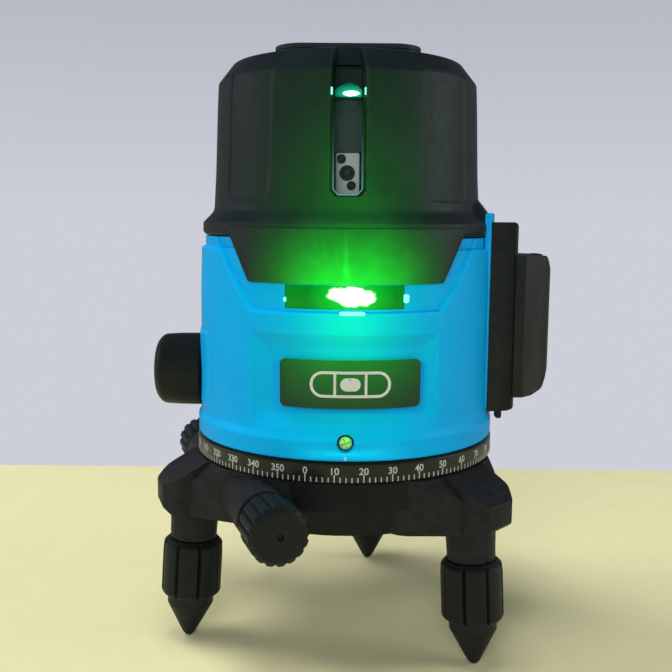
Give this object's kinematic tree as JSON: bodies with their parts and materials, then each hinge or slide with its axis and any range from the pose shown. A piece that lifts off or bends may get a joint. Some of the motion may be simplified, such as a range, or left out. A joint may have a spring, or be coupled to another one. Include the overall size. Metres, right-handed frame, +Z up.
{
  "type": "laser level on tripod",
  "caption": "Self-levelling multi-line laser level with a domed head, lock knob and slide-on battery, turning on a dialled base with three screw feet.",
  "frame": {"origin": "centre of the whole part's footprint, on the surface that the three foot tips stand on", "axes": "+Z up; the front, with its label and screw, faces -Y; the battery is on the +X side and the lock knob on the -X side"},
  "size_m": [0.1345, 0.1379, 0.1951],
  "materials": {
    "blue_plastic": "satin moulded",
    "black_plastic": "satin moulded, fine grain",
    "dial_black": "satin",
    "panel_grey": "matt film",
    "button_rubber": "matt",
    "window_glass": "clear, tinted dark",
    "level_fluid": "clear",
    "steel": "turned",
    "brass": "turned",
    "aluminium": "machined",
    "copper": "machined",
    "magnet": "plated",
    "circuit_board": "lacquered"
  },
  "bodies": {
    "base": {"tribrach": "black_plastic", "dial_ring": "dial_black", "thread_insert": "brass", "worm_bush_front": "brass", "worm_bush_rear": "brass"},
    "worm_wheel": {"worm_wheel": "brass", "clutch_ring": "panel_grey"},
    "worm": {"worm_shaft": "steel", "fine_knob_front": "black_plastic", "fine_knob_rear": "black_plastic"},
    "instrument": {"hub_spindle": "aluminium", "chassis": "aluminium", "lower_housing": "blue_plastic", "upper_cap": "black_plastic", "top_panel": "panel_grey", "level_vial_body": "black_plastic", "level_vial_glass": "level_fluid", "window_right": "window_glass", "window_back": "window_glass", "window_left": "window_glass", "window_front": "window_glass", "horizontal_window": "window_glass", "label_plate": "dial_black", "front_screw": "steel", "battery_holder": "black_plastic", "circuit_board": "circuit_board", "magnet_ring": "magnet", "gimbal_bearing_left": "steel", "gimbal_bearing_right": "steel"},
    "button_1": {"button_1": "button_rubber"},
    "button_2": {"button_2": "button_rubber"},
    "button_3": {"button_3": "button_rubber"},
    "lock": {"lock_knob": "black_plastic", "lock_shaft": "steel"},
    "battery": {"battery_pack": "black_plastic"},
    "battery_latch": {"battery_latch": "black_plastic"},
    "gimbal_cross": {"gimbal_cross": "steel"},
    "pendulum": {"pendulum_frame": "aluminium", "pendulum_bearing_front": "steel", "pendulum_bearing_rear": "steel", "line_laser_right": "brass", "line_laser_back": "brass", "line_laser_left": "brass", "line_laser_front": "brass", "horizontal_laser": "brass", "balance_weight": "brass", "plumb_laser": "brass", "damper_disc": "copper"},
    "foot_1_point": {"foot_tip_1": "black_plastic"},
    "foot_1_wheel": {"foot_wheel_1": "black_plastic", "foot_stud_1": "steel"},
    "foot_2_point": {"foot_tip_2": "black_plastic"},
    "foot_2_wheel": {"foot_wheel_2": "black_plastic", "foot_stud_2": "steel"},
    "foot_3_point": {"foot_tip_3": "black_plastic"},
    "foot_3_wheel": {"foot_wheel_3": "black_plastic", "foot_stud_3": "steel"}
  },
  "joints": [
    {"name": "foot_1_lift", "type": "slide", "parent": "base", "child": "foot_1_point", "axis": [0.0116, 0.0599, -0.9981], "range_m": [0, 0.01]},
    {"name": "foot_1_turn", "type": "hinge", "parent": "foot_1_point", "child": "foot_1_wheel", "pos_m": [0.00879, 0.05928, 0], "axis": [0.0116, 0.0599, -0.9981], "range_deg": [0, 2880]},
    {"name": "foot_2_lift", "type": "slide", "parent": "base", "child": "foot_2_point", "axis": [-0.0577, -0.0199, -0.9981], "range_m": [0, 0.01]},
    {"name": "foot_2_turn", "type": "hinge", "parent": "foot_2_point", "child": "foot_2_wheel", "pos_m": [-0.05428, -0.01327, 0], "axis": [-0.0577, -0.0199, -0.9981], "range_deg": [0, 2880]},
    {"name": "foot_3_lift", "type": "slide", "parent": "base", "child": "foot_3_point", "axis": [0.0461, -0.0401, -0.9981], "range_m": [0, 0.01]},
    {"name": "foot_3_turn", "type": "hinge", "parent": "foot_3_point", "child": "foot_3_wheel", "pos_m": [0.04009, -0.03161, 0], "axis": [0.0461, -0.0401, -0.9981], "range_deg": [0, 2880]},
    {"name": "fine_turn", "type": "hinge", "parent": "base", "child": "worm_wheel", "pos_m": [-0.0018, 0.0048, 0.0535], "axis": [0, 0, 1], "continuous": true},
    {"name": "worm_turn", "type": "hinge", "parent": "base", "child": "worm", "pos_m": [-0.03962, -0.00822, 0.0535], "axis": [0.3256, -0.9455, 0], "continuous": true},
    {"name": "instrument_turn", "type": "hinge", "parent": "worm_wheel", "child": "instrument", "pos_m": [-0.0018, 0.0048, 0.06], "axis": [0, 0, 1], "continuous": true},
    {"name": "button_1_press", "type": "slide", "parent": "instrument", "child": "button_1", "axis": [0, 0, -1], "range_m": [0, 0.0008], "stiffness_N_per_m": 300},
    {"name": "button_2_press", "type": "slide", "parent": "instrument", "child": "button_2", "axis": [0, 0, -1], "range_m": [0, 0.0008], "stiffness_N_per_m": 300},
    {"name": "button_3_press", "type": "slide", "parent": "instrument", "child": "button_3", "axis": [0, 0, -1], "range_m": [0, 0.0008], "stiffness_N_per_m": 300},
    {"name": "lock_turn", "type": "hinge", "parent": "instrument", "child": "lock", "pos_m": [-0.0518, 0.0048, 0.0887], "axis": [-1, 0, 0], "range_deg": [0, 90]},
    {"name": "battery_slide", "type": "slide", "parent": "instrument", "child": "battery", "axis": [0, 0, 1], "range_m": [0, 0.05]},
    {"name": "battery_latch_press", "type": "slide", "parent": "battery", "child": "battery_latch", "axis": [0, 0, -1], "range_m": [0, 0.001], "stiffness_N_per_m": 300},
    {"name": "gimbal_roll", "type": "hinge", "parent": "instrument", "child": "gimbal_cross", "pos_m": [-0.0018, 0.0048, 0.15], "axis": [1, 0, 0], "range_deg": [-4, 4]},
    {"name": "pendulum_swing", "type": "hinge", "parent": "gimbal_cross", "child": "pendulum", "pos_m": [-0.0018, 0.0048, 0.15], "axis": [0, 1, 0], "range_deg": [-4, 4]}
  ],
  "couplings": [
    {"joint": "foot_1_lift", "follows": "foot_1_turn", "m_per_rad": 0.00019894},
    {"joint": "foot_2_lift", "follows": "foot_2_turn", "m_per_rad": 0.00019894},
    {"joint": "foot_3_lift", "follows": "foot_3_turn", "m_per_rad": 0.00019894},
    {"joint": "fine_turn", "follows": "worm_turn", "ratio": 0.020833}
  ]
}
